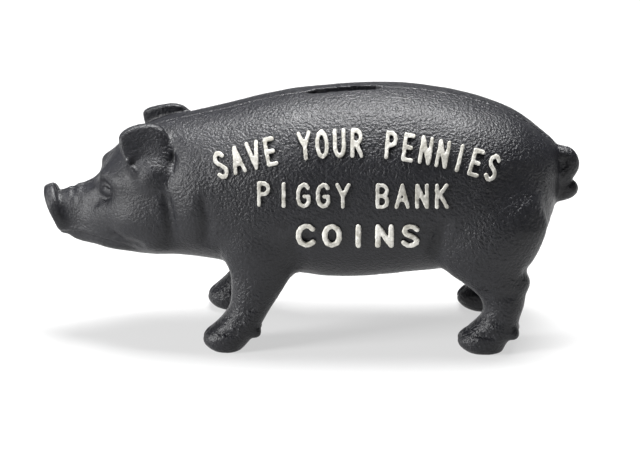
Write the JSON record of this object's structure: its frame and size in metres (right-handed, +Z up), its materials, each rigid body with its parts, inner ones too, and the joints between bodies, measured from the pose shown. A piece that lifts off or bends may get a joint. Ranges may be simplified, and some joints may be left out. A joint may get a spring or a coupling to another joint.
{
  "type": "piggy bank",
  "caption": "Cast-iron money bank shaped as a standing pig: two hollow halves held by one long screw, with a coin slot on the back and raised lettering on one flank.",
  "frame": {"origin": "on the floor plane below the middle of the bank's bounding box", "axes": "+Z up from the soles, +X from the snout towards the tail, +Y towards the pig's right side"},
  "size_m": [0.2136, 0.0713, 0.1014],
  "materials": {
    "black_casting": "satin black paint over a rough casting",
    "white_lettering": "hand-applied off-white paint, slightly worn",
    "screw_steel": "dulled steel"
  },
  "bodies": {
    "left_half": {"left_casting": "black_casting", "raised_lettering": "white_lettering"},
    "right_half": {"right_casting": "black_casting"},
    "washer": {"screw_washer": "screw_steel"},
    "screw": {"clamp_screw": "screw_steel"}
  },
  "joints": [
    {"name": "halves_part", "type": "slide", "parent": "left_half", "child": "right_half", "axis": [0, 1, 0], "range_m": [0, 0.06]},
    {"name": "screw_travel", "type": "slide", "parent": "right_half", "child": "washer", "axis": [0, 1, 0], "range_m": [0, 0.008]},
    {"name": "screw_turn", "type": "hinge", "parent": "washer", "child": "screw", "pos_m": [0.00598, 0, 0.06153], "axis": [0, 1, 0], "range_deg": [0, 3600]}
  ],
  "couplings": [
    {"joint": "screw_turn", "follows": "screw_travel", "rad_per_m": 7853}
  ]
}
